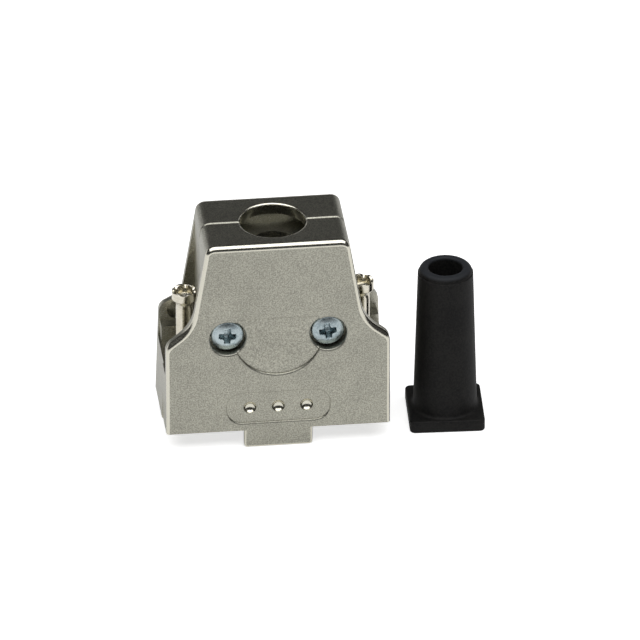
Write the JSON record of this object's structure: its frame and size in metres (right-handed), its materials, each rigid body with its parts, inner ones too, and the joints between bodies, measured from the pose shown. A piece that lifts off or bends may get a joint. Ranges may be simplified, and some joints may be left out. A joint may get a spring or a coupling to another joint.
{
  "type": "d-sub connector hood",
  "caption": "Straight die-cast metal hood for a small D-sub connector, in two half shells with captive jackscrews, an inner cable clamp and a rubber bend-relief sleeve beside it.",
  "frame": {"origin": "centre of the rim that the connector's flange seats against, on the hood's middle plane", "axes": "+Z along the cable, away from the connector; +X to the right as the face with the two screws is seen; +Y towards the plain back face"},
  "size_m": [0.0457, 0.014, 0.0326],
  "materials": {
    "cast_nickel": "fine-grained matt nickel plating on a zinc die casting",
    "turned_nickel": "bright warm nickel plating on turned screws",
    "zinc_screw": "blue zinc plating on cold-headed screws",
    "clamp_steel": "nickel plated strip",
    "black_rubber": "matt black moulded rubber"
  },
  "bodies": {
    "hood": {"front_shell": "cast_nickel", "rear_shell": "cast_nickel", "hood_screw_left": "zinc_screw", "hood_screw_right": "zinc_screw", "cable_clamp": "clamp_steel", "clamp_screw_left": "zinc_screw", "clamp_screw_right": "zinc_screw", "cable_sleeve": "black_rubber"},
    "left_jackscrew": {"jackscrew_left": "turned_nickel"},
    "right_jackscrew": {"jackscrew_right": "turned_nickel"}
  },
  "joints": [
    {"name": "left_jackscrew_turn", "type": "hinge", "parent": "hood", "child": "left_jackscrew", "pos_m": [-0.01249, 0, 0.0089], "axis": [0, 0, 1], "continuous": true},
    {"name": "right_jackscrew_turn", "type": "hinge", "parent": "hood", "child": "right_jackscrew", "pos_m": [0.01249, 0, 0.0089], "axis": [0, 0, 1], "continuous": true}
  ]
}
